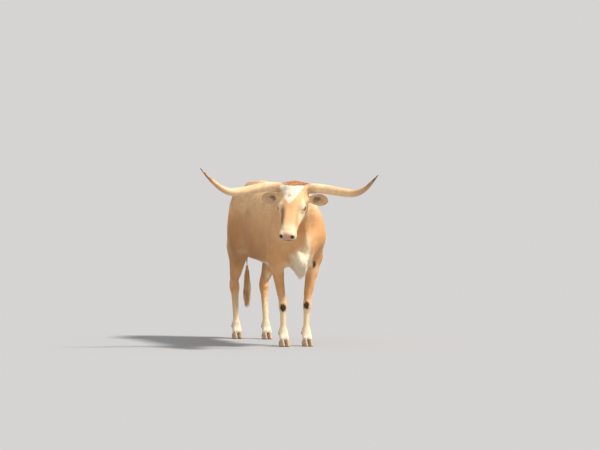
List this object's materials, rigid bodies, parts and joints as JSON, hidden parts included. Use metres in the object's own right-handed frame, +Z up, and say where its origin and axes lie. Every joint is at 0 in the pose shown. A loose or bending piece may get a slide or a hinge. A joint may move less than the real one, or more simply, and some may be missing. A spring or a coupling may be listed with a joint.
{
  "type": "texas longhorn",
  "caption": "Life-size standing longhorn steer with its head turned to its right, long upswept horns, horizontal ears and a hanging tail.",
  "frame": {"origin": "on the ground under the centre of the whole animal's bounding box, horns and tail included", "axes": "+X towards the animal's left, +Y from its head towards its tail, +Z up; the soles of the claws lie on Z = 0"},
  "size_m": [1.368, 2.5498, 1.5846],
  "materials": {
    "coat_tan": "short golden tan hair, matt",
    "coat_face": "short light tan hair with a white forehead mark, matt",
    "coat_pale": "short cream hair, matt",
    "horn": "dull polish, ivory to pink, with grey-brown tips",
    "hoof": "matt grey-brown horn",
    "eye": "wet gloss, near black"
  },
  "bodies": {
    "root": {"ear_left": "coat_tan", "ear_right": "coat_tan", "eye_left": "eye", "eye_right": "eye", "foreleg_left_lower": "coat_pale", "foreleg_left_upper": "coat_tan", "foreleg_right_lower": "coat_pale", "foreleg_right_upper": "coat_tan", "head": "coat_face", "hindleg_left_lower": "coat_pale", "hindleg_left_upper": "coat_tan", "hindleg_right_lower": "coat_pale", "hindleg_right_upper": "coat_tan", "hoof_foreleg_left_inner": "hoof", "hoof_foreleg_left_outer": "hoof", "hoof_foreleg_right_inner": "hoof", "hoof_foreleg_right_outer": "hoof", "hoof_hindleg_left_inner": "hoof", "hoof_hindleg_left_outer": "hoof", "hoof_hindleg_right_inner": "hoof", "hoof_hindleg_right_outer": "hoof", "horn_left": "horn", "horn_right": "horn", "neck": "coat_tan", "tail": "coat_tan", "tail_switch": "coat_pale", "torso": "coat_tan"}
  },
  "joints": []
}
